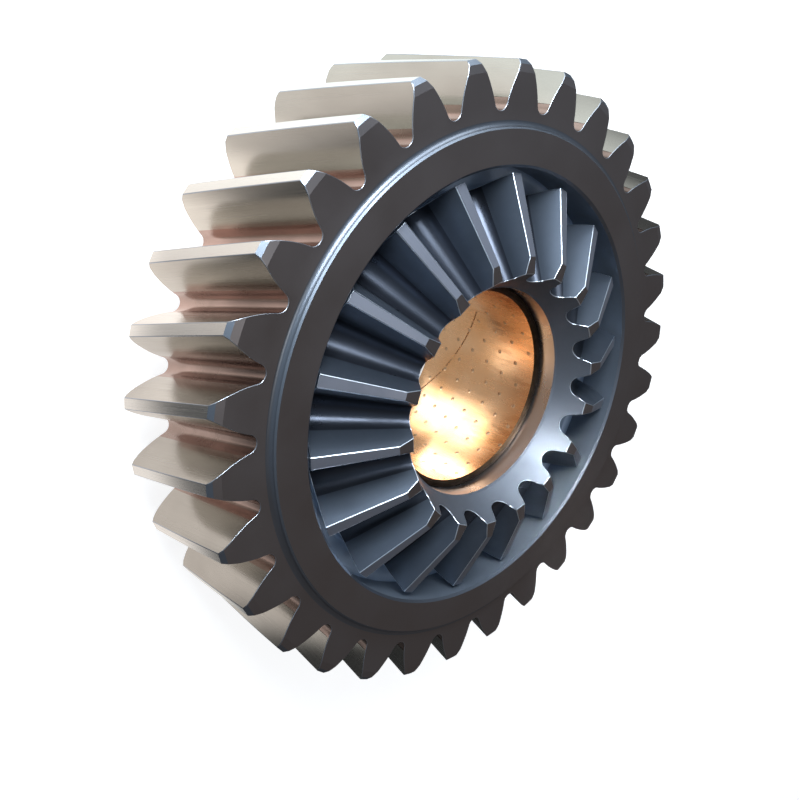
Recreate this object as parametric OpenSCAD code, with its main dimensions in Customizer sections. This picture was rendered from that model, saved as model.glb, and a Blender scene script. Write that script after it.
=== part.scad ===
// Driving gear of a truck inter-axle differential.
// A helical spur gear whose front face carries a recessed straight bevel
// side gear, with a bronze bush pressed into its bore.
// The axis is Z. The gear stands on the end of its rear hub, at Z = 0.

/* [Helical teeth] */
// Number of helical teeth
teeth = 30; // [26:1:36]
// Module, square to the tooth
normal_module = 6; // [5.6:0.1:6.6]
// Pressure angle, square to the tooth, in degrees
pressure_angle = 20; // [18:0.5:22]
// Helix angle at the pitch circle, left-hand, in degrees
helix_angle = 13.25; // [5:0.25:25]
// Profile shift, in modules
profile_shift = 0.57; // [0.35:0.01:0.62]
// Height of the tooth above its shifted pitch line, in modules
addendum_factor = 1; // [0.9:0.01:1.02]
// Depth of the tooth below its shifted pitch line, in modules
dedendum_factor = 1.365; // [1.25:0.005:1.45]
// Width of the toothed rim
face_w = 48.5; // [40:0.5:70]
// Turn of the helical teeth against the bevel teeth, at the front, in degrees
tooth_turn = -0.4; // [-6:0.1:6]

/* [Tooth ends] */
// Length of the steep tip chamfer along the axis
tip_chamfer_l = 1.2; // [0.5:0.1:2]
// Depth of the steep tip chamfer
tip_chamfer_d = 1.35; // [0.5:0.05:2]
// Length of the shallow tip chamfer along the axis
face_chamfer_l = 0.55; // [0.2:0.05:1]
// Depth of the shallow tip chamfer
face_chamfer_d = 2.3; // [1:0.1:3]

/* [Front boss] */
// Step from the tooth roots in to the foot of the boss
boss_step = 2.7; // [1.5:0.1:4]
// Height of the boss above the tooth ends
boss_h = 1.75; // [1.2:0.05:3]
// Radius of the fillet at the foot of the boss
boss_fillet = 1.9; // [1:0.1:3]
// Chamfer on the rim of the boss
boss_chamfer = 0.5; // [0.2:0.1:0.9]

/* [Bevel teeth] */
// Number of bevel teeth
bevel_teeth = 18; // [17:1:20]
// Number of teeth of the pinion that they mesh with
mate_teeth = 10; // [9:1:11]
// Module at the heel of the bevel teeth
bevel_module = 7.5; // [7:0.1:7.6]
// Pressure angle of the bevel teeth, in degrees
bevel_pressure_angle = 22.5; // [20:0.5:25]
// Height of the bevel tooth above its pitch cone, at the heel
bevel_addendum = 5.15; // [4:0.05:5.5]
// Depth of the bevel tooth below its pitch cone, at the heel
bevel_dedendum = 8.9; // [8:0.1:10]
// Thickness of the bevel tooth on its pitch cone, at the heel
bevel_thickness = 8.4; // [8:0.1:10]
// Length of the bevel teeth along the pitch cone
bevel_face_w = 30.4; // [24:0.2:31]
// Height of the heel tips above the tooth ends of the rim
heel_tip_z = -0.6; // [-3:0.1:1]
// Height of the turned flat on the toe tips above the tooth ends of the rim
toe_flat_z = 10.4; // [9:0.1:12]

/* [Recess] */
// Gap from the heel tips to the recess wall
recess_gap = 1.8; // [1.2:0.1:4]
// Depth of the groove floor below the heel roots
groove_drop = 2; // [1:0.5:5]
// Radius of the corners of the groove floor
groove_fillet = 2; // [0.5:0.1:2.5]
// Chamfer on the mouth of the recess
recess_chamfer = 0.8; // [0.3:0.1:1.2]

/* [Bore and bush] */
// Diameter of the shaft bore in the bush
bore_d = 65; // [60:0.5:66]
// Wall of the bush
bush_wall = 2.5; // [1.5:0.1:3]
// Chamfer inside both ends of the bush
bush_chamfer = 0.8; // [0.3:0.1:1.2]
// Lead-in chamfer outside both ends of the bush
bush_lead = 0.5; // [0.3:0.1:0.8]
// Depth of the bush below the tooth ends of the rim, at the front
bush_front = 6.9; // [4:0.1:12]
// Depth of the bush below the end of the hub, at the back
bush_back = 1.5; // [0.5:0.1:4]
// Chamfer at both ends of the steel bore
bore_chamfer = 0.6; // [0.3:0.1:1.2]

/* [Hub and back] */
// Length of the hub behind the rim
hub_l = 14; // [11:0.5:30]
// Wall of the hub round the bush
hub_wall = 14; // [8:0.5:20]
// Chamfer on the end of the hub
hub_chamfer = 1.5; // [0.5:0.1:3]
// Radius of the fillet at the root of the hub
hub_fillet = 3; // [1:0.5:5]
// Step from the tooth roots in to the relief in the back of the rim
back_rim_w = 8; // [5:0.5:15]
// Depth of the relief in the back of the rim
relief_d = 3; // [1:0.5:6]
// Radius of the fillet at the outer corner of the relief
relief_fillet = 1.5; // [0.5:0.1:2]

/* [Hidden] */
$fn = 180;

// Room by which a cutter passes the face that it opens through
through = 1;
// Slices along the helix, and straight pieces in each flank, root and fillet
helix_slices = 4;
flank_steps = 5;
root_steps = 6;
bevel_flank_steps = 4;
fillet_steps = 6;

// Degrees in one radian
radian = 180 / PI;

// Helical gear, in its transverse plane
transverse_angle = atan(tan(pressure_angle) / cos(helix_angle));
half_pitch = half_turn(teeth);
pitch_r = teeth * normal_module / cos(helix_angle) / 2;
base_r = pitch_r * cos(transverse_angle);
tip_r = pitch_r + normal_module * (addendum_factor + profile_shift);
root_r = pitch_r - normal_module * (dedendum_factor - profile_shift);
half_base_tooth = (90 + 2 * profile_shift * tan(pressure_angle) * radian) / teeth
                + involute(transverse_angle);
helix_turn = face_w * tan(helix_angle) / pitch_r * radian;

// Ends of the toothed rim
rim_back = hub_l;
rim_front = hub_l + face_w;

// Bevel gear, with the apex of its cones on the axis
pitch_angle = atan(bevel_teeth / mate_teeth);
heel_pitch_r = bevel_teeth * bevel_module / 2;
cone_distance = heel_pitch_r / sin(pitch_angle);
heel_tip_r = heel_pitch_r + bevel_addendum * cos(pitch_angle);
heel_tip = rim_front + heel_tip_z;
heel_pitch_z = heel_tip - bevel_addendum * sin(pitch_angle);
heel_root_z = heel_pitch_z - bevel_dedendum * sin(pitch_angle);
apex_z = heel_pitch_z + cone_distance * cos(pitch_angle);
toe_distance = cone_distance - bevel_face_w;
toe_pitch_r = toe_distance * sin(pitch_angle);
toe_pitch_z = apex_z - toe_distance * cos(pitch_angle);
toe_flat = rim_front + toe_flat_z;

// Bevel teeth seen square to the pitch cone, where they look like spur teeth
back_r = heel_pitch_r / cos(pitch_angle);
back_base_r = back_r * cos(bevel_pressure_angle);
back_half_pitch = half_turn(bevel_teeth) * cos(pitch_angle);
back_half_tooth = bevel_thickness / back_r / 2 * radian
                + involute(bevel_pressure_angle);

// Turned forms
boss_foot_r = root_r - boss_step;
boss_top = rim_front + boss_h;
boss_lean = acos(1 - (boss_h - boss_chamfer) / boss_fillet);
boss_r = boss_foot_r - boss_fillet * sin(boss_lean);
recess_r = heel_tip_r + recess_gap;
groove_z = heel_root_z - groove_drop;
bore_r = bore_d / 2;
seat_r = bore_r + bush_wall;
hub_r = seat_r + hub_wall;
relief_r = root_r - back_rim_w;
relief_z = rim_back + relief_d;

// Half of the turn from one tooth to the next
function half_turn(count) = 180 / count;
// Involute of an angle, in degrees
function involute(a) = tan(a) * radian - a;
// Pressure angle of an involute of base radius b, at radius r
function lean_at(r, b) = acos(min(1, b / r));
function polar(r, a) = [r * cos(a), r * sin(a)];
// Points of an arc round c, from angle a to angle b
function arc(c, r, a, b, steps) =
    [for (i = [0 : steps]) c + polar(r, a + (b - a) * i / steps)];

// Radius of the back cone at height z
function back_cone_r(z) = heel_pitch_r + (z - heel_pitch_z) / tan(pitch_angle);

// Radius of the arc that joins two flanks and touches the root circle. Its
// centre lies on the flank moved out by the same radius, found by halving.
function root_rest(rho, root, b, half_tooth, half) =
    half_tooth - involute(lean_at(root + rho, b)) + rho / b * radian - half;
function root_round(lo, hi, root, b, half_tooth, half, n = 30) =
    let (mid = (lo + hi) / 2)
    n == 0 ? mid
    : root_rest(mid, root, b, half_tooth, half) > 0
        ? root_round(lo, mid, root, b, half_tooth, half, n - 1)
        : root_round(mid, hi, root, b, half_tooth, half, n - 1);

// Outline of one tooth space, centred on X: tip, flank, root arc, flank, tip
function tooth_space(tip, root, b, half_tooth, half, steps) =
    let (rho = root_round(max(0, b - root), half * b / radian, root, b, half_tooth, half),
         centre = root + rho,
         lean = lean_at(centre, b),
         foot = norm([b, sqrt(centre ^ 2 - b ^ 2) - rho]),
         radii = [for (i = [0 : steps]) tip + (foot - tip) * i / steps],
         side = [for (r = radii) polar(r, half_tooth - involute(lean_at(r, b)) - half)],
         bottom = arc([centre, 0], rho, 270 - lean, 90 + lean, root_steps))
    concat(side,
           [for (i = [1 : root_steps - 1]) bottom[i]],
           [for (i = [steps : -1 : 0]) [side[i].x, -side[i].y]]);

function turned(p, a) = [p.x * cos(a) - p.y * sin(a), p.x * sin(a) + p.y * cos(a)];

module gear_outline() {
    space = tooth_space(tip_r, root_r, base_r, half_base_tooth, half_pitch, flank_steps);
    polygon([
        for (i = [0 : teeth - 1])
            for (p = space)
                turned(p, 2 * half_pitch * i)
    ]);
}

// Helical teeth, left-handed, with tooth_turn as their place on the front face.
// They run past both faces of the rim, where the blank trims them.
module helical_teeth() {
    height = face_w + 2 * through;
    twist = helix_turn * height / face_w;
    translate([0, 0, rim_back - through])
        rotate([0, 0, helix_turn * (1 + through / face_w) + tooth_turn])
            linear_extrude(height = height, twist = twist, slices = helix_slices)
                gear_outline();
}

// Section of the blank, in order round it: hub, relief, rim with two chamfers
// on each tooth end, boss, recess, cones of the bevel teeth and bore
module turned_blank() {
    steep_r = tip_r - tip_chamfer_d;
    shallow_r = steep_r - face_chamfer_d;
    past_z = face_chamfer_l + tip_chamfer_l * (tip_chamfer_d + through) / tip_chamfer_d;
    corner_z = groove_z + groove_fillet;
    corner_r = back_cone_r(groove_z) + groove_fillet / tan(pitch_angle / 2);
    land_r = heel_tip_r * (apex_z - toe_flat) / (apex_z - heel_tip);
    crown_r = toe_pitch_r + (toe_flat - toe_pitch_z) / tan(pitch_angle);
    mouth_r = seat_r + bore_chamfer;
    mouth_z = toe_pitch_z + (mouth_r - toe_pitch_r) * tan(pitch_angle);
    rotate_extrude()
        polygon(concat(
            [[mouth_r, 0], [hub_r - hub_chamfer, 0], [hub_r, hub_chamfer]],
            arc([hub_r + hub_fillet, relief_z - hub_fillet], hub_fillet, 180, 90, fillet_steps),
            arc([relief_r - relief_fillet, relief_z - relief_fillet], relief_fillet,
                90, 0, fillet_steps),
            [
                [relief_r, rim_back],
                [shallow_r, rim_back],
                [steep_r, rim_back + face_chamfer_l],
                [tip_r + through, rim_back + past_z],
                [tip_r + through, rim_front - past_z],
                [steep_r, rim_front - face_chamfer_l],
                [shallow_r, rim_front],
            ],
            arc([boss_foot_r, rim_front + boss_fillet], boss_fillet,
                270, 270 - boss_lean, fillet_steps),
            [
                [boss_r - boss_chamfer, boss_top],
                [recess_r + recess_chamfer, boss_top],
                [recess_r, boss_top - recess_chamfer],
            ],
            arc([recess_r - groove_fillet, corner_z], groove_fillet, 360, 270, fillet_steps),
            arc([corner_r, corner_z], groove_fillet, 270, 90 + pitch_angle, fillet_steps),
            [
                [heel_tip_r, heel_tip],
                [land_r, toe_flat],
                [crown_r, toe_flat],
                [mouth_r, mouth_z],
                [seat_r, mouth_z - bore_chamfer],
                [seat_r, bore_chamfer],
            ]
        ));
}

// One bevel tooth space, tapering to the apex of the cones. It runs out into
// the groove round the heels, and stops short of the recess wall.
module bevel_space() {
    outer = cone_distance + recess_gap / 2;
    inner = toe_distance / 2;
    grow = outer / cone_distance;
    space = tooth_space(back_r + bevel_addendum + through, back_r - bevel_dedendum,
                        back_base_r, back_half_tooth, back_half_pitch, bevel_flank_steps);
    translate([0, 0, apex_z])
        rotate([0, -pitch_angle, 0])
            translate([0, 0, -outer])
                linear_extrude(height = outer - inner, scale = inner / outer)
                    polygon([for (p = space) [p.x - back_r, p.y] * grow]);
}

// Steel gear: helical rim, boss, recess and bevel teeth, all one forging
module gear_body() {
    core_r = (boss_foot_r + root_r) / 2;
    color("dimgray")
        difference() {
            intersection() {
                turned_blank();
                union() {
                    helical_teeth();
                    translate([0, 0, -through])
                        cylinder(r = core_r, h = toe_flat + 2 * through);
                }
            }
            for (i = [0 : bevel_teeth - 1])
                rotate([0, 0, (2 * i + 1) * half_turn(bevel_teeth)])
                    bevel_space();
        }
}

// Plain bush, pressed into the steel bore
module bronze_bush() {
    top = rim_front - bush_front;
    color("peru")
        rotate_extrude()
            polygon([
                [bore_r + bush_chamfer, bush_back],
                [seat_r - bush_lead, bush_back],
                [seat_r, bush_back + bush_lead],
                [seat_r, top - bush_lead],
                [seat_r - bush_lead, top],
                [bore_r + bush_chamfer, top],
                [bore_r, top - bush_chamfer],
                [bore_r, bush_back + bush_chamfer],
            ]);
}

gear_body();
bronze_bush();
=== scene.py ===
import math

import bmesh
import bpy
import numpy as np
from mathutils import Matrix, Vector
from mathutils.geometry import delaunay_2d_cdt


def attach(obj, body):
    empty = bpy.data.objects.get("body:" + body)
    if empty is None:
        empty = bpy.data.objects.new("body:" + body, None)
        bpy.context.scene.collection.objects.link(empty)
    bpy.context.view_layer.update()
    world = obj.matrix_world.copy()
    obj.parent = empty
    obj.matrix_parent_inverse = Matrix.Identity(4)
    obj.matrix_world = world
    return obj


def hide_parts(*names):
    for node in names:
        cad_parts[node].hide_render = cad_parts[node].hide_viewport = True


# Differential side gear: finished meshes of its steel gear and bronze bush,
# their materials, the floor, the light and the camera.
# Sizes are in millimetres and turns in degrees, as in the part, until a mesh,
# a lamp or a camera is made from them.

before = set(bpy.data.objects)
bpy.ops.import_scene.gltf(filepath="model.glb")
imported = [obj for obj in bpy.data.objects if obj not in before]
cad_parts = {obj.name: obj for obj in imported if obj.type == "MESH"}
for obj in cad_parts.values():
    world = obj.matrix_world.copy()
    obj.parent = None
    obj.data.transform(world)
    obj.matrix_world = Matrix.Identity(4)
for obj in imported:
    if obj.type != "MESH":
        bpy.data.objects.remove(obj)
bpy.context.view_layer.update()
MM = 0.001

# Helical teeth
TEETH = 30
NORMAL_MODULE = 6
PRESSURE_ANGLE = 20
HELIX_ANGLE = 13.25
PROFILE_SHIFT = 0.57
ADDENDUM_FACTOR = 1
DEDENDUM_FACTOR = 1.365
FACE_W = 48.5
TOOTH_TURN = -0.4
TIP_CHAMFER_L = 1.2
TIP_CHAMFER_D = 1.35
FACE_CHAMFER_L = 0.55
FACE_CHAMFER_D = 2.3

# Front boss
BOSS_STEP = 2.7
BOSS_H = 1.75
BOSS_FILLET = 1.9
BOSS_CHAMFER = 0.5

# Bevel teeth
BEVEL_TEETH = 18
MATE_TEETH = 10
BEVEL_MODULE = 7.5
BEVEL_PRESSURE_ANGLE = 22.5
BEVEL_ADDENDUM = 5.15
BEVEL_DEDENDUM = 8.9
BEVEL_THICKNESS = 8.4
BEVEL_FACE_W = 30.4
HEEL_TIP_Z = -0.6
TOE_FLAT_Z = 10.4

# Recess, bore, bush, hub and back
RECESS_GAP = 1.8
GROOVE_DROP = 2
GROOVE_FILLET = 2
RECESS_CHAMFER = 0.8
BORE_D = 65
BUSH_WALL = 2.5
BUSH_CHAMFER = 0.8
BUSH_LEAD = 0.5
BUSH_FRONT = 6.9
BUSH_BACK = 1.5
BORE_CHAMFER = 0.6
HUB_L = 14
HUB_WALL = 14
HUB_CHAMFER = 1.5
HUB_FILLET = 3
BACK_RIM_W = 8
RELIEF_D = 3
RELIEF_FILLET = 1.5

# Detail that only the finished mesh has: the ledge that grinding leaves above
# the tooth roots, and the broken edges. An edge is broken from one fold on, and
# left sharp from a smaller one on. The rest is shaded smooth.
LEDGE_R = 91.2
LEDGE_D = 0.14
LEDGE_RUN_OUT = 0.05
EDGE_BREAK = 0.2
EDGE_SEGMENTS = 2
BREAK_FROM = 50
SHARP_FROM = 12.7

# Oil pockets and the oil line on the bored wall, as turn in degrees and height.
# The pockets lie at so many steps round and down to each side of the first one.
POCKET_R = 0.75
POCKET_D = 0.12
POCKET_START = (-95.45, 52.32)
POCKET_ROUND = (13.379, -1.871)
POCKET_DOWN = (4.0, -7.75)
POCKET_REACH = (13, 12)
OIL_LINE = ((-76, 29.3), (-150, 4.0))
OIL_LINE_HALF_W = 0.3
OIL_LINE_D = 0.2
SEAM = 45

# Camera, as fitted to the photo: place, turn about X, Y and Z, lens and width of
# its sensor, and from where to where it sees
CAMERA_AT = (146.973, 169.563, 240.358)
CAMERA_TURN = (-23.1004, -41.5973, -101.5348)
LENS = 39.548
SENSOR_W = 36
CLIP_FROM = 10
CLIP_TO = 20000

# Room: the side that the window light comes from, the dark and the window's
# colour, and where one runs into the other, as cosines of the turn from there
WINDOW_SIDE = 5
ROOM_COLOUR = (0.12, 0.105, 0.10)
WINDOW_COLOUR = (0.42, 0.51, 0.61)
ROOM_SPAN = (-0.6, 0.9)

# Floor as the camera sees it: half its side, a grey that takes the shadow, and
# a glow that lifts it to white
FLOOR_HALF = 6000
FLOOR_SEEN = 0.6
FLOOR_LIFT = 0.8

# Floor as metal mirrors it: a grey, darker than the floor that the camera sees,
# with a painted glow that grows towards the window, and that turns warm towards
# another side. A round painted pool of light a little off the axis is brighter,
# and shows in the flanks low on the rim. None of the glow reaches the bore, which
# is painted shade. Each pair of cosines or radii is where a change starts and
# where it ends.
FLOOR_GREY = (0.07, 0.068, 0.066)
FLOOR_GLOW = (0.02, 1.4)
GLOW_SPAN = (0.4, 1)
WARM_SIDE = 75
WARM_SPAN = (0.2, 0.85)
GLOW_COOL = (0.92, 1.0, 1.0)
GLOW_WARM = (1.0, 0.93, 0.88)
RIM_GLOW = 0.95
RIM_GLOW_AT = (-12, 20, 0)
RIM_GLOW_R = (97, 111)
BORE_SHADE_R = (45, 60)

# Colour of the small lamps and of the room as the camera sees it
LAMP_COLOUR = (1.0, 0.97, 0.92)
WHITE = (1, 1, 1, 1)

# The range of a noise over which a surface changes
NOISE_SPAN = (0.3, 0.7)

# Points round each ring and the turn between them, how many of a tooth pitch
# go to the root arc, and the turn between the points of other arcs
RING = 720
STEP = 2 * math.pi / RING
ROOT_STEPS = 16
ARC_STEP = 12

# Rows of points up a helical flank to the ledge, from there to the end chamfers,
# and over each chamfer
LEDGE_ROWS = 5
FLANK_ROWS = 7
CHAMFER_ROWS = 3

# Rows of points up a bevel tooth to where its toe turns flat, from there to its
# tip, and across the toe cone
BEVEL_ROWS = 8
CROWN_ROWS = 4
TOE_ROWS = 4

# Shares of a tooth's length at which it has points, closest together near its ends
ALONG_HELICAL = (0, 0.012, 0.035, 0.08, 0.2, 0.35, 0.5, 0.65, 0.8, 0.92, 0.965, 0.988, 1)
ALONG_BEVEL = (0, 0.03, 0.3, 0.7, 0.97, 1)

# Bored wall: its rows of points, which of a ring's points they keep, the points
# along the oil line and round a pocket, and the shares of a pocket's radius and
# depth at each of its rings
WALL_ROWS = 18
WALL_SKIP = 4
LINE_POINTS = 60
POCKET_SIDES = 12
POCKET_RINGS = ((1, 0), (0.75, 0.5), (0.4, 0.9))

# Least distance of a pocket from the next one, the seam, the wall's own points
# and the oil line, in its radii, and of the wall's own points from the oil line,
# in the line's half widths
POCKET_TO_POCKET = 4
POCKET_TO_SEAM = 2
POCKET_TO_WALL = 1.5
POCKET_TO_LINE = 1.4
WALL_TO_LINE = 3

# How close points are welded or, in the flat wall, merged, and how deep a point
# lies in the wall to count as part of a pocket or the oil line
WELD = 0.002
FLAT_MERGE = 1e-5
SUNK_FROM = 0.01

# How often a searched range is halved, and how far beyond the bevel tooth's tip
# the search for a level on it starts
HALVINGS = 40
SEARCH_ROOM = 1


def involute(angle):
    """Involute of an angle, both in radians."""
    return math.tan(angle) - angle


def lean_at(r, base):
    """Pressure angle at radius r of an involute of this base radius."""
    return math.acos(min(1.0, base / r))


class ToothForm:
    """The outline of a spur tooth space: involute flanks, and one arc that joins them at the
    root. Its radius is searched for, so that it runs smoothly into both."""

    def __init__(self, root, base, half_base, half_pitch):
        self.base, self.half_base, self.half_pitch = base, half_base, half_pitch
        low, high = max(0.0, base - root), half_pitch * base
        for _ in range(HALVINGS):
            rho = (low + high) / 2
            rest = half_base - involute(lean_at(root + rho, base)) + rho / base - half_pitch
            low, high = (low, rho) if rest > 0 else (rho, high)
        self.rho, self.centre = rho, root + rho
        self.lean = lean_at(self.centre, base)
        self.foot = math.hypot(base, math.sqrt(self.centre**2 - base**2) - rho)

    def half_tooth(self, r):
        """Half of the tooth's angle at radius r."""
        return self.half_base - involute(lean_at(r, self.base))

    def root_arc(self, steps):
        """Radius and angle from the middle of the space, for points along the root arc."""
        turns = np.linspace(1.5 * math.pi - self.lean, 0.5 * math.pi + self.lean, steps + 1)
        x = self.centre + self.rho * np.cos(turns)
        y = self.rho * np.sin(turns)
        return np.hypot(x, y), np.arctan2(y, x)


# Sizes that follow, as in the part
RIM_BACK, RIM_FRONT = HUB_L, HUB_L + FACE_W
helix = math.radians(HELIX_ANGLE)
pressure = math.radians(PRESSURE_ANGLE)
transverse = math.atan(math.tan(pressure) / math.cos(helix))
pitch_r = TEETH * NORMAL_MODULE / math.cos(helix) / 2
TIP_R = pitch_r + NORMAL_MODULE * (ADDENDUM_FACTOR + PROFILE_SHIFT)
ROOT_R = pitch_r - NORMAL_MODULE * (DEDENDUM_FACTOR - PROFILE_SHIFT)
HALF_PITCH = math.pi / TEETH
half_base = (math.pi / 2 + 2 * PROFILE_SHIFT * math.tan(pressure)) / TEETH + involute(transverse)
SPUR = ToothForm(ROOT_R, pitch_r * math.cos(transverse), half_base, HALF_PITCH)
HELIX_TURN = FACE_W * math.tan(helix) / pitch_r
STEEP_R = TIP_R - TIP_CHAMFER_D
SHALLOW_R = STEEP_R - FACE_CHAMFER_D

CONE = math.atan(BEVEL_TEETH / MATE_TEETH)
heel_pitch_r = BEVEL_TEETH * BEVEL_MODULE / 2
CONE_DISTANCE = heel_pitch_r / math.sin(CONE)
TOE_DISTANCE = CONE_DISTANCE - BEVEL_FACE_W
HEEL_TIP_R = heel_pitch_r + BEVEL_ADDENDUM * math.cos(CONE)
HEEL_TIP = RIM_FRONT + HEEL_TIP_Z
heel_pitch_z = HEEL_TIP - BEVEL_ADDENDUM * math.sin(CONE)
GROOVE_Z = heel_pitch_z - BEVEL_DEDENDUM * math.sin(CONE) - GROOVE_DROP
APEX_Z = heel_pitch_z + CONE_DISTANCE * math.cos(CONE)
TOE_FLAT = RIM_FRONT + TOE_FLAT_Z
back_r = heel_pitch_r / math.cos(CONE)
bevel_pressure = math.radians(BEVEL_PRESSURE_ANGLE)
bevel_half_pitch = math.pi / BEVEL_TEETH
BEVEL = ToothForm(
    back_r - BEVEL_DEDENDUM,
    back_r * math.cos(bevel_pressure),
    BEVEL_THICKNESS / back_r / 2 + involute(bevel_pressure),
    bevel_half_pitch * math.cos(CONE),
)

BOSS_FOOT_R = ROOT_R - BOSS_STEP
BOSS_TOP = RIM_FRONT + BOSS_H
RECESS_R = HEEL_TIP_R + RECESS_GAP
BORE_R = BORE_D / 2
WALL_L = 2 * math.pi * BORE_R
SEAT_R = BORE_R + BUSH_WALL
SEAT_BOTTOM = (SEAT_R, BORE_CHAMFER)
HUB_R = SEAT_R + HUB_WALL
RELIEF_R = ROOT_R - BACK_RIM_W
RELIEF_Z = RIM_BACK + RELIEF_D

# Kinds of surface on the steel gear and on the bush, in the order of their material slots
KINDS = [
    "face", "ground", "tip", "root", "chamfer", "fillet", "recess", "groove", "bevel", "bevel_root",
    "land", "toe", "bore", "edge", "bevel_edge",
]
BUSH_KINDS = ["wall", "pocket", "end"]


def place(r, angle, z):
    """Points from radius, angle and height."""
    r, angle, z = np.broadcast_arrays(r, angle, z)
    return np.stack([r * np.cos(angle), r * np.sin(angle), z], axis=-1)


def arc(centre, r, start, end):
    """Radius and height of points along an arc of a turned section."""
    turns = np.radians(np.linspace(start, end, math.ceil(abs(end - start) / ARC_STEP) + 1))
    return [(centre[0] + r * math.cos(t), centre[1] + r * math.sin(t)) for t in turns]


class Patches:
    """Grids and other faces that are welded where they meet."""

    def __init__(self, names):
        self.names = names
        self.points, self.faces, self.kinds, self.count = [], [], [], 0

    def add(self, points, faces, kinds):
        """Adds points, faces as rows of indices into them, and each face's kind."""
        self.points.append(points)
        self.faces += (np.array(faces) + self.count).tolist()
        self.kinds += [self.names.index(kind) for kind in kinds]
        self.count += len(points)

    def grid(self, points, kind, closed=False):
        """Adds quads through rows of points. A closed grid joins its last column to its first."""
        rows, cols = points.shape[:2]
        index = np.arange(rows * cols).reshape(rows, cols)
        if closed:
            index = np.hstack([index, index[:, :1]])
        corners = [index[:-1, :-1], index[:-1, 1:], index[1:, 1:], index[1:, :-1]]
        quads = np.stack(corners, axis=-1).reshape(-1, 4)
        self.add(points.reshape(-1, 3), quads, [kind] * len(quads))

    def object(self, name):
        """The welded mesh as an object, in metres, with its faces turned outwards."""
        mesh = bpy.data.meshes.new(name)
        mesh.from_pydata((np.vstack(self.points) * MM).tolist(), [], self.faces)
        mesh.polygons.foreach_set("material_index", self.kinds)
        shape = bmesh.new()
        shape.from_mesh(mesh)
        bmesh.ops.remove_doubles(shape, verts=shape.verts, dist=WELD * MM)
        bmesh.ops.dissolve_degenerate(shape, edges=shape.edges, dist=WELD * MM / 2)
        bmesh.ops.recalc_face_normals(shape, faces=shape.faces)
        open_edges = sum(not e.is_manifold for e in shape.edges)
        if open_edges:
            print(name, "has", open_edges, "open edges")
        shape.to_mesh(mesh)
        shape.free()
        thing = bpy.data.objects.new(name, mesh)
        bpy.context.scene.collection.objects.link(thing)
        return thing


def end_drop(r):
    """How far a tooth's end stands back from the rim's face at radius r, by its two chamfers."""
    shallow = np.clip((r - SHALLOW_R) / FACE_CHAMFER_D, 0, 1) * FACE_CHAMFER_L
    steep = np.clip((r - STEEP_R) / TIP_CHAMFER_D, 0, 1) * TIP_CHAMFER_L
    return shallow + steep


def twist_at(z):
    """Turn of the left-handed teeth at height z."""
    return math.radians(TOOTH_TURN) + HELIX_TURN * (RIM_FRONT - z) / FACE_W


def helical_rim(patches):
    """Flanks, roots, lands and ends of the helical teeth. Returns the chains of points that the
    front and the back face start from, as radius and angle."""
    along = np.array(ALONG_HELICAL)
    run_out = np.clip(np.minimum(along, 1 - along) / LEDGE_RUN_OUT, 0, 1)
    across = np.linspace(-1, 1, RING // TEETH - ROOT_STEPS + 1)
    low_r = np.linspace(SPUR.foot, LEDGE_R, LEDGE_ROWS)
    high_r = np.concatenate([
        np.linspace(LEDGE_R, SHALLOW_R, FLANK_ROWS),
        np.linspace(SHALLOW_R, STEEP_R, CHAMFER_ROWS)[1:],
        np.linspace(STEEP_R, TIP_R, CHAMFER_ROWS)[1:],
    ])
    shallow_row = FLANK_ROWS - 1
    steep_row = shallow_row + CHAMFER_ROWS - 1
    arc_r, arc_turn = SPUR.root_arc(ROOT_STEPS)

    def heights(r):
        """Heights of the points along a tooth at radius r."""
        drop = end_drop(r)
        return RIM_BACK + drop + (FACE_W - 2 * drop) * along

    def flank(r_values, middle, side, undercut):
        """One flank of the tooth whose middle is at this turn, set back by the undercut."""
        rows = []
        for r, cut in zip(r_values, undercut):
            z = heights(r)
            half = SPUR.half_tooth(r) - cut * run_out / r
            rows.append(place(r, middle + side * half + twist_at(z), z))
        return np.array(rows)

    def tooth_end(r_values, middle, front):
        """The front or back end of that tooth."""
        rows = []
        for r in r_values:
            z = RIM_FRONT - end_drop(r) if front else RIM_BACK + end_drop(r)
            rows.append(place(r, middle + across * SPUR.half_tooth(r) + twist_at(z), z))
        return np.array(rows)

    low_cut = LEDGE_D * np.clip((low_r - SPUR.foot) / (LEDGE_R - SPUR.foot), 0, 1)
    no_cut = np.zeros(len(high_r))
    chain_r, chain_turn = [], []
    for i in range(TEETH):
        gap = 2 * HALF_PITCH * i
        middle = gap + HALF_PITCH
        for side in (-1, 1):
            low = flank(low_r, middle, side, low_cut)
            high = flank(high_r, middle, side, no_cut)
            patches.grid(low, "root")
            patches.grid(np.array([low[-1], high[0]]), "root")
            patches.grid(high, "ground")
        z = heights(TIP_R)
        land = middle + across[:, None] * SPUR.half_tooth(TIP_R) + twist_at(z)
        patches.grid(place(TIP_R, land, z), "tip")
        z = heights(ROOT_R)
        patches.grid(place(arc_r[:, None], gap + arc_turn[:, None] + twist_at(z), z), "root")
        for front in (True, False):
            body = np.concatenate([low_r, high_r[1 : shallow_row + 1]])
            shallow = high_r[shallow_row : steep_row + 1]
            patches.grid(tooth_end(body, middle, front), "face")
            patches.grid(tooth_end(shallow, middle, front), "face")
            patches.grid(tooth_end(high_r[steep_row:], middle, front), "chamfer")
        chain_r += [*arc_r, *[SPUR.foot] * (len(across) - 2)]
        chain_turn += [*(gap + arc_turn), *(middle + across[1:-1] * SPUR.half_tooth(SPUR.foot))]
    return np.array(chain_r), np.array(chain_turn)


def bevel_ray(r, angle):
    """Direction from the apex to the point of the flat tooth outline at radius r and this angle."""
    x, y = r * np.cos(angle) - back_r, r * np.sin(angle)
    out = heel_pitch_r + x * math.cos(CONE)
    down = CONE_DISTANCE * math.cos(CONE) - x * math.sin(CONE)
    return np.hypot(out, y), np.arctan2(y, out), down


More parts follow.
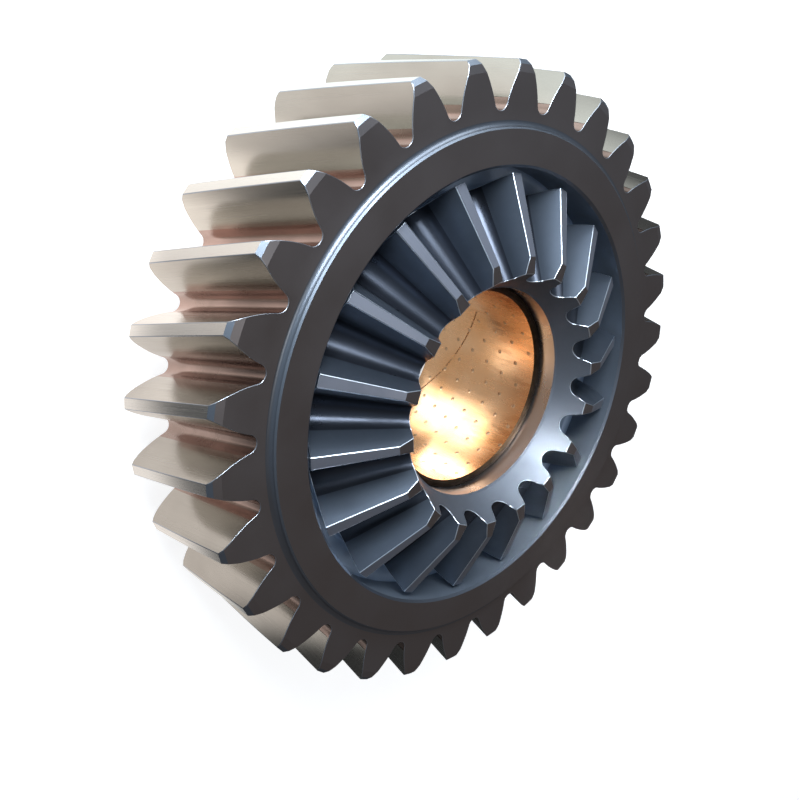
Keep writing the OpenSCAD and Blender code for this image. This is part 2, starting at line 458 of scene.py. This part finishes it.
def flat_radius(slope):
    """Radius on the flat tooth outline whose ray leaves the axis at this slope."""
    low, high = BEVEL.foot, back_r + BEVEL_ADDENDUM + SEARCH_ROOM
    for _ in range(HALVINGS):
        r = (low + high) / 2
        out, _, down = bevel_ray(r, BEVEL.half_tooth(r) - BEVEL.half_pitch)
        low, high = (low, r) if out / down > slope else (r, high)
    return r


def bevel_teeth(patches):
    """The straight bevel teeth. Returns the chains that the heel and the toe cone start from."""
    slope_tip = HEEL_TIP_R / (APEX_Z - HEEL_TIP)
    toe_pitch_r = TOE_DISTANCE * math.sin(CONE)
    toe_pitch_z = APEX_Z - TOE_DISTANCE * math.cos(CONE)
    crown_r = toe_pitch_r + (TOE_FLAT - toe_pitch_z) / math.tan(CONE)
    slope_crown = crown_r / (APEX_Z - TOE_FLAT)
    r_crown, r_tip = flat_radius(slope_crown), flat_radius(slope_tip)
    levels = np.concatenate([
        np.linspace(BEVEL.foot, r_crown, BEVEL_ROWS),
        np.linspace(r_crown, r_tip, CROWN_ROWS)[1:],
    ])
    along = np.array(ALONG_BEVEL)
    across = np.linspace(-1, 1, RING // BEVEL_TEETH - ROOT_STEPS + 1)

    def ends(out, down):
        """Where a ray leaves the tooth, as shares of the ray: on the back cone, and on the toe."""
        heel = CONE_DISTANCE / math.sin(CONE) / (out + down / math.tan(CONE))
        toe = heel * TOE_DISTANCE / CONE_DISTANCE
        return heel, np.maximum(toe, (APEX_Z - TOE_FLAT) / down)

    def on_ray(out, turn, down, share):
        """The point at this share of a ray from the apex."""
        return place(share * out, turn, APEX_Z - share * down)

    rays = []
    for r in levels:
        out, turn, down = bevel_ray(r, BEVEL.half_tooth(r) - BEVEL.half_pitch)
        rays.append((out, bevel_half_pitch + turn, down, *ends(out, down)))
    arc_r, arc_turn = BEVEL.root_arc(ROOT_STEPS)
    arc_out, arc_angle, arc_down = bevel_ray(arc_r, arc_turn)
    arc_heel, arc_toe = ends(arc_out, arc_down)

    heel_chain, toe_chain = [], []
    for i in range(BEVEL_TEETH):
        gap = bevel_half_pitch * (2 * i + 1)
        middle = gap + bevel_half_pitch
        for side in (-1, 1):
            rows = [
                on_ray(out, middle + side * half, down, toe + (heel - toe) * along)
                for out, half, down, heel, toe in rays
            ]
            patches.grid(np.array(rows), "bevel")
        out, half, down, heel, toe = rays[-1]
        share = toe + (heel - toe) * along
        land = (middle + across * half)[:, None]
        patches.grid(on_ray(out, land, down, share), "land")
        share = arc_toe[:, None] + (arc_heel - arc_toe)[:, None] * along
        patches.grid(
            on_ray(arc_out[:, None], gap + arc_angle[:, None], arc_down[:, None], share),
            "bevel_root",
        )
        heel_rows, toe_rows = [], []
        for out, half, down, heel, toe in rays:
            heel_rows.append(on_ray(out, middle + across * half, down, heel))
            toe_rows.append(on_ray(out, middle + across * half, down, toe))
        patches.grid(np.array(heel_rows), "recess")
        patches.grid(np.array(toe_rows[:BEVEL_ROWS]), "toe")
        patches.grid(np.array(toe_rows[BEVEL_ROWS - 1 :]), "face")
        foot_out, foot_half, _, foot_heel, foot_toe = rays[0]
        inner = middle + across[1:-1] * foot_half
        for chain, arc_share, share in (
            (heel_chain, arc_heel, foot_heel), (toe_chain, arc_toe, foot_toe)
        ):
            chain.append((arc_share * arc_out, gap + arc_angle))
            chain.append((np.full(len(inner), share * foot_out), inner))
    heel_chain = [np.concatenate(values) for values in zip(*heel_chain)]
    toe_chain = [np.concatenate(values) for values in zip(*toe_chain)]
    return heel_chain, toe_chain


def ring_of(chain, first_gap):
    """A chain put in the order of the turned rings, with the turn of the ring's first point.
    The chain starts half a root arc before the middle of the first gap."""
    start = first_gap - STEP * ROOT_STEPS / 2
    skip = math.floor(start / STEP)
    return [np.roll(values, skip) for values in chain], start - skip * STEP


def turned(patches, section, kind, phase_in, phase_out=None):
    """A turned surface through the section's points, on rings that start at one phase and may
    end at another."""
    phase_out = phase_in if phase_out is None else phase_out
    turns = STEP * np.arange(RING)
    shift = np.linspace(phase_in, phase_out, len(section))
    rows = [place(r, turns + p, z) for (r, z), p in zip(section, shift)]
    patches.grid(np.array(rows), kind, closed=True)


def blend_band(patches, chain, phase, r_end, height, kind, rows=2):
    """A band from a chain of points to a turned ring, on a face whose height follows the radius."""
    r, turn = chain
    turns = STEP * np.arange(RING) + phase
    turn = turns + (turn - turns + math.pi) % (2 * math.pi) - math.pi
    grid = []
    for share in np.linspace(0, 1, rows):
        radius = r + (r_end - r) * share
        grid.append(place(radius, turn + (turns - turn) * share, height(radius)))
    patches.grid(np.array(grid), kind, closed=True)


def level(z):
    """The height of a flat face, for any radius."""
    return lambda r: np.full_like(r, z)


def back_cone_r(z):
    """Radius of the cone behind the bevel teeth at height z."""
    return heel_pitch_r + (z - heel_pitch_z) / math.tan(CONE)


def back_cone_z(r):
    """Height of the cone behind the bevel teeth at radius r."""
    return heel_pitch_z + (r - heel_pitch_r) * math.tan(CONE)


def toe_cone_z(r):
    """Height of the cone inside the bevel teeth at radius r."""
    toe_z = APEX_Z - TOE_DISTANCE * math.cos(CONE)
    return toe_z + (r - TOE_DISTANCE * math.sin(CONE)) * math.tan(CONE)


def front_and_recess(patches, rim_chain, rim_phase, heel_chain, bevel_phase):
    """The front face, the boss ring and the recess round the bevel teeth."""
    lean = math.degrees(math.acos(1 - (BOSS_H - BOSS_CHAMFER) / BOSS_FILLET))
    fillet = arc((BOSS_FOOT_R, RIM_FRONT + BOSS_FILLET), BOSS_FILLET, 270, 270 - lean)
    boss_rim = (fillet[-1][0] - BOSS_CHAMFER, BOSS_TOP)
    mouth = (RECESS_R + RECESS_CHAMFER, BOSS_TOP)
    wall_top = (RECESS_R, BOSS_TOP - RECESS_CHAMFER)
    corner_z = GROOVE_Z + GROOVE_FILLET
    corner_r = back_cone_r(GROOVE_Z) + GROOVE_FILLET / math.tan(CONE / 2)
    cone_turn = 90 + math.degrees(CONE)
    groove = [
        *arc((RECESS_R - GROOVE_FILLET, corner_z), GROOVE_FILLET, 360, 270),
        *arc((corner_r, corner_z), GROOVE_FILLET, 270, cone_turn),
    ]
    blend_band(patches, rim_chain, rim_phase, BOSS_FOOT_R, level(RIM_FRONT), "face")
    turned(patches, fillet, "fillet", rim_phase)
    turned(patches, [fillet[-1], boss_rim], "chamfer", rim_phase)
    turned(patches, [boss_rim, mouth], "face", rim_phase)
    turned(patches, [mouth, wall_top], "fillet", rim_phase)
    turned(patches, [wall_top, groove[0]], "recess", rim_phase, bevel_phase)
    turned(patches, groove, "groove", bevel_phase)
    blend_band(patches, heel_chain, bevel_phase, groove[-1][0], back_cone_z, "groove")


def toe_and_seat(patches, toe_chain, bevel_phase, back_phase):
    """The cone inside the bevel teeth, and the bore that the bush sits in."""
    seat_mouth = (SEAT_R + BORE_CHAMFER, toe_cone_z(SEAT_R + BORE_CHAMFER))
    seat_top = (SEAT_R, seat_mouth[1] - BORE_CHAMFER)
    blend_band(patches, toe_chain, bevel_phase, seat_mouth[0], toe_cone_z, "toe", TOE_ROWS)
    turned(patches, [seat_mouth, seat_top], "toe", bevel_phase)
    turned(patches, [seat_top, SEAT_BOTTOM], "bore", bevel_phase, back_phase)


def hub_and_back(patches, rim_chain, rim_phase):
    """The rear hub, the relief beside it and the back face."""
    hub = [
        SEAT_BOTTOM,
        (SEAT_R + BORE_CHAMFER, 0),
        (HUB_R - HUB_CHAMFER, 0),
        (HUB_R, HUB_CHAMFER),
    ]
    relief = [
        *arc((HUB_R + HUB_FILLET, RELIEF_Z - HUB_FILLET), HUB_FILLET, 180, 90),
        *arc((RELIEF_R - RELIEF_FILLET, RELIEF_Z - RELIEF_FILLET), RELIEF_FILLET, 90, 0),
        (RELIEF_R, RIM_BACK),
    ]
    turned(patches, hub, "face", rim_phase)
    turned(patches, [hub[-1], *relief], "face", rim_phase)
    blend_band(patches, rim_chain, rim_phase, RELIEF_R, level(RIM_BACK), "face")


def steel_gear():
    """The whole steel gear as one closed mesh."""
    patches = Patches(KINDS)
    chain_r, chain_turn = helical_rim(patches)
    heel_chain, toe_chain = bevel_teeth(patches)

    def rim_ring(z):
        """The rim's chain on its face at height z, and its phase."""
        return ring_of((chain_r, chain_turn + twist_at(z)), twist_at(z))

    front_chain, front_phase = rim_ring(RIM_FRONT)
    back_chain, back_phase = rim_ring(RIM_BACK)
    heel_chain, bevel_phase = ring_of(heel_chain, bevel_half_pitch)
    toe_chain, _ = ring_of(toe_chain, bevel_half_pitch)
    front_and_recess(patches, front_chain, front_phase, heel_chain, bevel_phase)
    toe_and_seat(patches, toe_chain, bevel_phase, back_phase)
    hub_and_back(patches, back_chain, back_phase)
    return patches.object("steel_gear")


def is_clear(x, y, places, gap):
    """Whether a point of the flat wall keeps this gap from all these places."""
    return all(math.dist((x, y), other) >= gap for other in places)


def pocket_places(low, high):
    """Centres of the oil pockets between two heights of the flat wall."""
    steps_round, steps_down = POCKET_REACH
    places = []
    for i in range(-steps_round, steps_round + 1):
        for j in range(-steps_down, steps_down + 1):
            turn = POCKET_START[0] + i * POCKET_ROUND[0] + j * POCKET_DOWN[0]
            y = POCKET_START[1] + i * POCKET_ROUND[1] + j * POCKET_DOWN[1]
            x = math.radians((turn - SEAM) % 360) * BORE_R
            fits = low + POCKET_R < y < high - POCKET_R
            off_seam = min(x, WALL_L - x) > POCKET_TO_SEAM * POCKET_R
            if fits and off_seam and is_clear(x, y, places, POCKET_TO_POCKET * POCKET_R):
                places.append((x, y))
    return places


def oil_line():
    """Points along the oil line on the flat wall."""
    (turn_from, y_from), (turn_to, y_to) = OIL_LINE
    turns = np.linspace(turn_from, turn_to, LINE_POINTS)
    heights = np.linspace(y_from, y_to, LINE_POINTS)
    return [(math.radians((t - SEAM) % 360) * BORE_R, y) for t, y in zip(turns, heights)]


def bush_wall():
    """The bored wall with its oil pockets and the oil line, as points and triangles.
    It is laid out flat, with the arc along x and the height along y, and then rolled up."""
    low, high = BUSH_BACK + BUSH_CHAMFER, RIM_FRONT - BUSH_FRONT - BUSH_CHAMFER
    pockets, line = pocket_places(low, high), oil_line()
    points, edges, depth = [], [], []

    def add(x, y, sink=0.0):
        """Adds a point that lies this deep, and gives its number."""
        points.append(Vector((x, y)))
        depth.append(sink)
        return len(points) - 1

    def is_free(x, y):
        """Whether the wall may have a point of its own here."""
        off_pockets = is_clear(x, y, pockets, POCKET_TO_WALL * POCKET_R)
        return off_pockets and is_clear(x, y, line, WALL_TO_LINE * OIL_LINE_HALF_W)

    for k in range(RING + 1):
        for y in (low, high):
            add(WALL_L * k / RING, y)
    for y in np.linspace(low, high, WALL_ROWS)[1:-1]:
        for k in range(0, RING + 1, WALL_SKIP):
            x = WALL_L * k / RING
            if k in (0, RING) or is_free(x, y):
                add(x, y)
    for x, y in pockets:
        for share, sink in POCKET_RINGS:
            r = POCKET_R * share
            ring = [
                add(x + r * math.cos(turn), y + r * math.sin(turn), POCKET_D * sink)
                for turn in np.linspace(0, 2 * math.pi, POCKET_SIDES, endpoint=False)
            ]
            edges += zip(ring, ring[1:] + ring[:1])
        add(x, y, POCKET_D)
    for offset, sink in ((-OIL_LINE_HALF_W, 0), (0, OIL_LINE_D), (OIL_LINE_HALF_W, 0)):
        last = None
        for x, y in line:
            passes = is_clear(x, y, pockets, POCKET_TO_LINE * POCKET_R)
            new = add(x, y + offset, sink) if passes else None
            if new is not None and last is not None:
                edges.append((last, new))
            last = new

    # The kind of triangulation that fills the wall from edge to edge
    whole = 0
    flat, _, faces, origin, _, _ = delaunay_2d_cdt(points, edges, [], whole, FLAT_MERGE)
    sink = np.array([depth[o[0]] if o else 0 for o in origin])
    turn = np.array([p.x for p in flat]) / BORE_R + math.radians(SEAM)
    rolled = place(BORE_R + sink, turn, np.array([p.y for p in flat]))
    return rolled, [face[::-1] for face in faces]


def bush():
    """The bronze bush as one closed mesh."""
    top, bottom = RIM_FRONT - BUSH_FRONT, BUSH_BACK
    section = [
        (BORE_R, bottom + BUSH_CHAMFER),
        (BORE_R + BUSH_CHAMFER, bottom),
        (SEAT_R - BUSH_LEAD, bottom),
        (SEAT_R, bottom + BUSH_LEAD),
        (SEAT_R, top - BUSH_LEAD),
        (SEAT_R - BUSH_LEAD, top),
        (BORE_R + BUSH_CHAMFER, top),
        (BORE_R, top - BUSH_CHAMFER),
    ]
    patches = Patches(BUSH_KINDS)
    turned(patches, section, "end", math.radians(SEAM))
    points, faces = bush_wall()
    is_sunk = np.hypot(points[:, 0], points[:, 1]) > BORE_R + SUNK_FROM
    kinds = ["pocket" if any(is_sunk[i] for i in face) else "wall" for face in faces]
    patches.add(points, faces, kinds)
    return patches.object("bush")


def smooth_between_edges(thing, breaks=False):
    """Shades a piece smooth between its edges. With breaks it also marks the edges to break."""
    mesh = thing.data
    shape = bmesh.new()
    shape.from_mesh(mesh)
    weights = shape.edges.layers.float.new("bevel_weight_edge")
    for edge in shape.edges:
        is_ledge = all(abs(v.co.xy.length / MM - LEDGE_R) < LEDGE_D for v in edge.verts)
        fold = math.degrees(edge.calc_face_angle(0))
        is_broken = breaks and fold > BREAK_FROM and not is_ledge
        edge[weights] = float(is_broken)
        edge.smooth = is_broken or fold < SHARP_FROM
    shape.to_mesh(mesh)
    shape.free()
    mesh.polygons.foreach_set("use_smooth", [True] * len(mesh.polygons))


def break_edges(thing, slot):
    """Rounds the marked edges, in the material of this slot."""
    bevel = thing.modifiers.new("edge_break", "BEVEL")
    bevel.limit_method = "WEIGHT"
    bevel.width = EDGE_BREAK * MM
    bevel.segments = EDGE_SEGMENTS
    bevel.material = slot
    bevel.harden_normals = True
    bevel.use_clamp_overlap = False
    graph = bpy.context.evaluated_depsgraph_get()
    made = bpy.data.meshes.new_from_object(thing.evaluated_get(graph))
    thing.modifiers.clear()
    thing.data = made


def part_bevel_edges(gear):
    """Gives the broken edges of the bevel teeth a material of their own, a much lighter one that
    paints their glint.
    """
    edge, bevel_edge = KINDS.index("edge"), KINDS.index("bevel_edge")
    for face in gear.data.polygons:
        if face.material_index == edge and face.center.xy.length < HEEL_TIP_R * MM:
            face.material_index = bevel_edge


class Nodes:
    """A node tree. What goes into a socket is another socket, or a value."""

    def __init__(self, tree):
        self.nodes, self.links = tree.nodes, tree.links

    def feed(self, socket, value):
        """Links a socket or sets a value."""
        if isinstance(value, bpy.types.NodeSocket):
            self.links.new(value, socket)
        else:
            socket.default_value = value

    def add(self, kind, inputs=(), **settings):
        """Outputs of a new node. Its inputs go by name, or in their order."""
        node = self.nodes.new("ShaderNode" + kind)
        for name, value in settings.items():
            setattr(node, name, value)
        pairs = inputs.items() if isinstance(inputs, dict) else enumerate(inputs)
        for key, value in pairs:
            self.feed(node.inputs[key], value)
        return node.outputs

    def math(self, operation, *values):
        return self.add("Math", values, operation=operation)[0]

    def vector_math(self, operation, *values):
        return self.add("VectorMath", values, operation=operation)

    def mix(self, share, a, b):
        """Colour that runs from a to b."""
        inputs = {"Factor": share, "A": a, "B": b}
        return self.add("Mix", inputs, data_type="RGBA")["Result"]

    def ramp(self, value, span, limits=(0, 1)):
        """Maps a value from a range to two limits."""
        inputs = {
            "Value": value,
            "From Min": span[0],
            "From Max": span[1],
            "To Min": limits[0],
            "To Max": limits[1],
        }
        return self.add("MapRange", inputs)["Result"]


class Surface(Nodes):
    """A procedural metal, built up from nodes."""

    def __init__(self, name, colour, roughness, metallic=1.0):
        self.material = bpy.data.materials.new(name)
        self.material.use_nodes = True
        super().__init__(self.material.node_tree)
        self.shader = self.nodes["Principled BSDF"].inputs
        self.shader["Base Color"].default_value = (*colour, 1)
        self.shader["Roughness"].default_value = roughness
        self.shader["Metallic"].default_value = metallic
        self.place = self.add("TexCoord")["Object"]

    def ring_noise(self, per_mm, detail=3):
        """Noise that changes only across the turning marks."""
        x, y, z = self.add("SeparateXYZ", (self.place,))
        square = self.math("ADD", self.math("MULTIPLY", x, x), self.math("MULTIPLY", y, y))
        along = self.math("ADD", self.math("SQRT", square), z)
        inputs = {"W": along, "Scale": per_mm / MM, "Detail": detail}
        return self.add("TexNoise", inputs, noise_dimensions="1D")["Fac"]

    def noise(self, per_mm, detail=4, stretch=(1, 1, 1), helical=False):
        """Noise in space, stretched, and turned along the helical teeth if asked."""
        place_now = self.place
        if helical:
            height = self.add("SeparateXYZ", (self.place,))[2]
            turn = self.math("MULTIPLY", height, HELIX_TURN / (FACE_W * MM))
            inputs = {"Vector": self.place, "Angle": turn}
            place_now = self.add("VectorRotate", inputs, rotation_type="Z_AXIS")["Vector"]
        scaled = self.add("Mapping", {"Vector": place_now, "Scale": stretch})["Vector"]
        inputs = {"Vector": scaled, "Scale": per_mm / MM, "Detail": detail}
        return self.add("TexNoise", inputs)["Fac"]

    def tint(self, noise, other):
        """Lets the colour run to another one."""
        own = self.shader["Base Color"]
        mixed = self.mix(self.ramp(noise, NOISE_SPAN), tuple(own.default_value), (*other, 1))
        self.feed(own, mixed)

    def rough(self, noise, roughness, less, more):
        """Lets the roughness run from so much less to so much more."""
        limits = (roughness - less, roughness + more)
        self.feed(self.shader["Roughness"], self.ramp(noise, NOISE_SPAN, limits))

    def bump(self, noise, height):
        """Relief of this height in millimetres."""
        inputs = {"Height": noise, "Distance": height * MM, "Strength": 1}
        self.feed(self.shader["Normal"], self.add("Bump", inputs)["Normal"])


def turned_steel(name, colour, other, roughness, metallic=1.0):
    """Steel with fine turning marks."""
    surface = Surface(name, colour, roughness, metallic)
    cloud = surface.noise(per_mm=0.05)
    surface.tint(cloud, other)
    surface.rough(cloud, roughness, less=0.06, more=0.06)
    surface.bump(surface.ring_noise(per_mm=3.5), height=0.0015)
    return surface.material


def ground_steel(name, colour, other, roughness):
    """Bright steel with grinding lines along the helical teeth."""
    surface = Surface(name, colour, roughness)
    lines = surface.noise(per_mm=3, detail=3, stretch=(1, 1, 0.006), helical=True)
    surface.tint(surface.noise(per_mm=0.06, stretch=(1, 1, 0.4)), other)
    surface.rough(lines, roughness, less=0.04, more=0.06)
    surface.bump(lines, height=0.0006)
    return surface.material


def satin_steel(name, colour, other, roughness, metallic=1.0):
    """Steel with the fine pores of a forged or blasted skin."""
    surface = Surface(name, colour, roughness, metallic)
    cloud = surface.noise(per_mm=0.08)
    surface.tint(cloud, other)
    surface.rough(cloud, roughness, less=0.05, more=0.08)
    surface.bump(surface.noise(per_mm=2.5, detail=6), height=0.003)
    return surface.material


def bronze(name, colour, other, roughness):
    """Bored bronze, with marks that run up the bore and rings of the tool."""
    surface = Surface(name, colour, roughness)
    surface.tint(surface.noise(per_mm=0.05), other)
    marks = surface.noise(per_mm=0.5, stretch=(1, 1, 0.2))
    surface.rough(marks, roughness, less=0.04, more=0.08)
    surface.bump(surface.ring_noise(per_mm=1.2), height=0.002)
    return surface.material


def dark_bronze(name, colour):
    """Dull bronze in a darker colour, which paints shade where it is used, and which darkens to
    half in places.
    """
    surface = Surface(name, colour, roughness=0.4)
    surface.tint(surface.noise(per_mm=0.3), [c / 2 for c in colour])
    surface.bump(surface.ring_noise(per_mm=1.2), height=0.002)
    return surface.material


# Materials by kind: the name, the colour and the one that it runs to, the
# roughness, and how metallic it is
STEELS = {
    "face": turned_steel("turned_face", (0.255, 0.235, 0.235), (0.21, 0.192, 0.192), 0.42),
    "ground": ground_steel("ground_flank", (0.49, 0.47, 0.43), (0.395, 0.372, 0.337), 0.22),
    # The tip lands are the flanks' ground steel in a much lighter colour: a painted highlight.
    "tip": ground_steel("tip_land_painted_highlight", (0.80, 0.79, 0.76), (0.72, 0.70, 0.66), 0.24),
    # The roots' copper tint is a painted warm reflection.
    "root": satin_steel("tooth_root_painted_reflection", (0.42, 0.305, 0.27), (0.32, 0.235, 0.205), 0.22),
    "chamfer": turned_steel("chamfer", (0.20, 0.23, 0.27), (0.165, 0.19, 0.225), 0.46),
    "fillet": turned_steel("boss_fillet", (0.20, 0.225, 0.26), (0.165, 0.185, 0.22), 0.36),
    # The recess wall and the bevel teeth's heels are coloured darker than the same turned steel
    # elsewhere: painted shade.
    "recess": turned_steel("recess", (0.17, 0.205, 0.255), (0.145, 0.175, 0.215), 0.5, 0.6),
    # The groove floor is the recess's turned steel in a far lighter, bluer colour: painted light.
    "groove": turned_steel("groove", (0.42, 0.51, 0.64), (0.36, 0.44, 0.55), 0.5, 0.3),
    "bevel": satin_steel("bevel_flank", (0.104, 0.127, 0.163), (0.08, 0.098, 0.126), 0.37, 0.8),
    # The bevel tooth roots are the flanks' steel at about half its colour: painted shade between
    # the teeth.
    "bevel_root": satin_steel("bevel_root", (0.05, 0.058, 0.076), (0.04, 0.046, 0.06), 0.3, 0.8),
    "land": satin_steel("bevel_land", (0.22, 0.235, 0.28), (0.18, 0.195, 0.235), 0.42, 0.75),
    "toe": turned_steel("toe_cone", (0.155, 0.175, 0.207), (0.128, 0.145, 0.17), 0.5, 0.8),
    "bore": turned_steel("steel_bore", (0.58, 0.61, 0.66), (0.50, 0.50, 0.53), 0.3),
    "edge": turned_steel("edge_break", (0.42, 0.45, 0.50), (0.36, 0.39, 0.43), 0.3),
    # The bevel teeth's broken edges are near white: a painted glint.
    "bevel_edge": turned_steel("bevel_edge_painted_glint", (0.75, 0.82, 0.90), (0.66, 0.73, 0.80), 0.34),
}
BRONZES = {
    "wall": bronze("bush_bronze", (0.82, 0.55, 0.34), (0.72, 0.38, 0.17), 0.24),
    # The pockets are a little darker than the wall: painted shade in the hollows.
    "pocket": dark_bronze("oil_pocket_painted_shade", (0.72, 0.50, 0.32)),
    # The bush's ends and chamfers are near black, far darker than its bronze: painted shade.
    "end": dark_bronze("bush_end_painted_shade", (0.08, 0.05, 0.03)),
}


def build_gear():
    """The steel gear, with its materials and what it stands for."""
    gear = steel_gear()
    for kind in KINDS:
        gear.data.materials.append(STEELS[kind])
    smooth_between_edges(gear, breaks=True)
    break_edges(gear, KINDS.index("edge"))
    part_bevel_edges(gear)
    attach(gear, "root")
    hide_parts("gear_body")


def build_bush():
    """The bronze bush, with its materials and what it stands for."""
    piece = bush()
    for kind in BUSH_KINDS:
        piece.data.materials.append(BRONZES[kind])
    smooth_between_edges(piece)
    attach(piece, "root")
    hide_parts("bronze_bush")


def make_camera():
    """The camera at the photo's place."""
    data = bpy.data.cameras.new("camera")
    camera = bpy.data.objects.new("camera", data)
    bpy.context.scene.collection.objects.link(camera)
    camera.location = Vector(CAMERA_AT) * MM
    camera.rotation_euler = [math.radians(a) for a in CAMERA_TURN]
    data.lens, data.sensor_width = LENS, SENSOR_W
    data.clip_start, data.clip_end = CLIP_FROM * MM, CLIP_TO * MM
    bpy.context.scene.camera = camera


def direction(azimuth, elevation):
    """Unit vector towards a side, at an angle above the floor."""
    turn, lift = math.radians(azimuth), math.radians(elevation)
    reach = math.cos(lift)
    return Vector((math.cos(turn) * reach, math.sin(turn) * reach, math.sin(lift)))


def area_light(name, centre, away, size, power, colour):
    """A rectangular light at this place in metres, which shines against the direction away."""
    data = bpy.data.lights.new(name, "AREA")
    data.shape, data.size, data.size_y = "RECTANGLE", size[0] * MM, size[1] * MM
    data.energy, data.color = power, colour
    light = bpy.data.objects.new(name, data)
    bpy.context.scene.collection.objects.link(light)
    light.location = centre
    light.rotation_euler = away.to_track_quat("Z", "Y").to_euler()
    return light


def softbox(name, azimuth, elevation, distance, size, power, colour):
    """A lamp that shines on the middle of the gear from this side and angle above the floor."""
    away = direction(azimuth, elevation)
    middle = Vector((0, 0, RIM_FRONT / 2))
    area_light(name, (middle + away * distance) * MM, away, size, power, colour)


def small_lamp(name, centre, size, radiance, aim, spread):
    """A lamp that shines towards an azimuth and elevation, and fades out to half its spread away
    from there. Its power follows from how bright it is seen from straight ahead."""
    half = math.radians(spread / 2)
    narrowing = 1 - half / math.tan(half)
    power = radiance * math.pi * size[0] * size[1] * MM**2 * narrowing
    away = -direction(*aim)
    lamp = area_light(name, Vector(centre) * MM, away, size, power, LAMP_COLOUR)
    lamp.data.spread = 2 * half


def level_place(tree):
    """Place on the floor, or direction in the room, with no height."""
    return tree.vector_math("MULTIPLY", tree.add("TexCoord")["Object"], (1, 1, 0))["Vector"]


def towards(tree, level_at, side, span, limits=(0, 1)):
    """A value that changes over a span of the cosine of the turn from a side, as seen from the
    gear's axis."""
    unit = tree.vector_math("NORMALIZE", level_at)["Vector"]
    facing = tree.vector_math("DOT_PRODUCT", unit, direction(side, 0))["Value"]
    return tree.ramp(facing, span, limits)


def floor_material():
    """White to the camera, and in reflections a darker grey with a painted glow."""
    material = bpy.data.materials.new("floor")
    material.use_nodes = True
    tree = Nodes(material.node_tree)
    tree.nodes.clear()
    path = tree.add("LightPath")
    seen = tree.add("BsdfDiffuse", {"Color": (FLOOR_SEEN, FLOOR_SEEN, FLOOR_SEEN, 1)})
    lift = tree.add("Emission", {"Color": WHITE, "Strength": FLOOR_LIFT})
    backdrop = tree.add("AddShader", (seen[0], lift[0]))

    level_at = level_place(tree)
    from_window = towards(tree, level_at, WINDOW_SIDE, GLOW_SPAN, FLOOR_GLOW)
    from_patch = tree.vector_math("DISTANCE", level_at, Vector(RIM_GLOW_AT) * MM)["Value"]
    from_axis = tree.vector_math("LENGTH", level_at)["Value"]
    patch = tree.ramp(from_patch, [r * MM for r in RIM_GLOW_R], (RIM_GLOW, 0))
    outside_bore = tree.ramp(from_axis, [r * MM for r in BORE_SHADE_R])
    lit = tree.math("MULTIPLY", tree.math("ADD", from_window, patch), outside_bore)
    shine = tree.math("MULTIPLY", lit, path["Is Glossy Ray"])
    warmth = towards(tree, level_at, WARM_SIDE, WARM_SPAN)
    tone = tree.mix(warmth, (*GLOW_COOL, 1), (*GLOW_WARM, 1))
    glow = tree.add("Emission", {"Color": tone, "Strength": shine})
    grey = tree.add("BsdfDiffuse", {"Color": (*FLOOR_GREY, 1)})
    reflected = tree.add("AddShader", (grey[0], glow[0]))

    total = tree.add("MixShader", (path["Is Camera Ray"], reflected[0], backdrop[0]))
    tree.add("OutputMaterial", {"Surface": total[0]})
    return material


def make_floor():
    """The floor that the gear stands on."""
    mesh = bpy.data.meshes.new("floor")
    half = FLOOR_HALF * MM
    corners = [(-half, -half, 0), (half, -half, 0), (half, half, 0), (-half, half, 0)]
    mesh.from_pydata(corners, [], [(0, 1, 2, 3)])
    mesh.materials.append(floor_material())
    floor = bpy.data.objects.new("floor", mesh)
    bpy.context.scene.collection.objects.link(floor)


def make_world():
    """The room: white to the camera, and otherwise from dark to the window's colour."""
    world = bpy.data.worlds.new("studio")
    world.use_nodes = True
    tree = Nodes(world.node_tree)
    from_window = towards(tree, level_place(tree), WINDOW_SIDE, ROOM_SPAN)
    room = tree.mix(from_window, (*ROOM_COLOUR, 1), (*WINDOW_COLOUR, 1))
    background = tree.nodes["Background"].inputs
    tree.feed(background["Color"], tree.mix(tree.add("LightPath")["Is Camera Ray"], room, WHITE))
    tree.feed(background["Strength"], 1)
    bpy.context.scene.world = world


def make_softboxes():
    """The window light, a low one from the side and a weak one from above."""
    softbox(
        "window", azimuth=WINDOW_SIDE + 5, elevation=34, distance=620,
        size=(320, 240), power=5.5, colour=(0.86, 0.93, 1.0),
    )
    softbox(
        "low_side", azimuth=-24, elevation=20, distance=500,
        size=(340, 200), power=0.8, colour=(0.9, 0.95, 1.0),
    )
    softbox(
        "top", azimuth=60, elevation=86, distance=900,
        size=(300, 300), power=0.5, colour=(1.0, 0.97, 0.93),
    )


def make_recess_lamp():
    """A narrow lamp for the part of the recess wall that shines in the photo."""
    small_lamp(
        "recess_wall", centre=(180.5, 96, 259), size=(40, 40),
        radiance=700, aim=(207, -35), spread=11,
    )


def make_bore_lamps():
    """Light that comes up through the open back of the bore: an even disc, glare on the left and
    the lowest part of the wall, and a glint for its right."""
    small_lamp(
        "bore", centre=(0, 0, 0.5), size=(58, 58),
        radiance=0.5, aim=(0, 90), spread=180,
    )
    small_lamp(
        "bore_glare", centre=(-10.2, -19.5, 10.5), size=(23, 30),
        radiance=7, aim=(180, 40), spread=58,
    )
    small_lamp(
        "bore_low_glare", centre=(-22, -16, 24), size=(14, 18),
        radiance=7, aim=(111, 38), spread=60,
    )
    small_lamp(
        "bore_glint", centre=(-17, 19, 1), size=(20, 10),
        radiance=2.4, aim=(0, 90), spread=180,
    )


build_gear()
build_bush()
make_camera()
make_floor()
make_world()
make_softboxes()
make_recess_lamp()
make_bore_lamps()
bpy.context.scene.view_settings.view_transform = "Standard"
